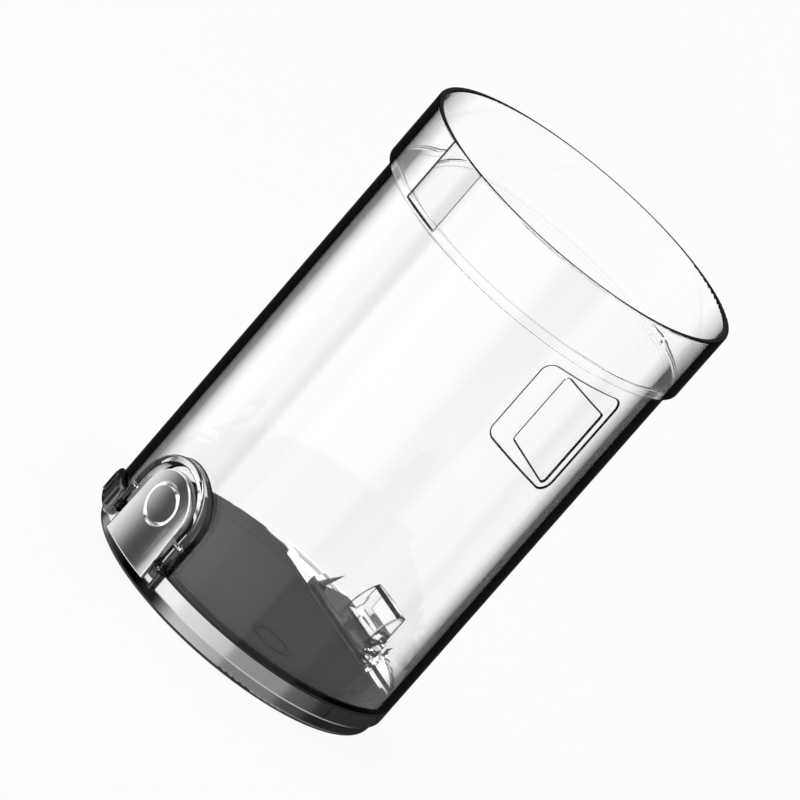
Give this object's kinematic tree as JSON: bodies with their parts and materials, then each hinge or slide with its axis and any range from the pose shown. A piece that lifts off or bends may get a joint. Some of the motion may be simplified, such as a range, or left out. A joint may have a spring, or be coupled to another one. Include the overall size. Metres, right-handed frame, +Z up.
{
  "type": "cyclone dust bin",
  "caption": "Clear stepped dust bin for a stick vacuum cleaner, open at the top, with a hinged floor lid at its base and a sprung release button on the front.",
  "frame": {"origin": "centre of the lid's flat underside", "axes": "+Z up the tube's axis to the open mouth, release button towards -Y, hinge at +Y"},
  "size_m": [0.1038, 0.1059, 0.154],
  "materials": {
    "clear_plastic": "polished clear",
    "graphite_plastic": "gloss",
    "floor_plastic": "gloss",
    "lever_plastic": "satin",
    "seal_rubber": "matt",
    "steel": "drawn"
  },
  "bodies": {
    "bin": {"bin_tube": "clear_plastic", "hinge_pin": "steel", "button_pin": "steel", "button_spring": "steel"},
    "lid": {"lid_cover": "graphite_plastic", "lid_floor": "floor_plastic", "lid_seal": "seal_rubber"},
    "button": {"button_cap": "graphite_plastic", "button_lever": "lever_plastic"}
  },
  "joints": [
    {"name": "lid_hinge", "type": "hinge", "parent": "bin", "child": "lid", "pos_m": [0, 0.0373, 0.0086], "axis": [1, 0, 0], "range_deg": [0, 95]},
    {"name": "button_press", "type": "hinge", "parent": "bin", "child": "button", "pos_m": [0, -0.05075, 0.019], "axis": [-1, 0, 0], "range_deg": [0, 5], "stiffness_Nm_per_rad": 0.2, "springref_deg": -8.59, "deforming": ["button_spring"]}
  ]
}
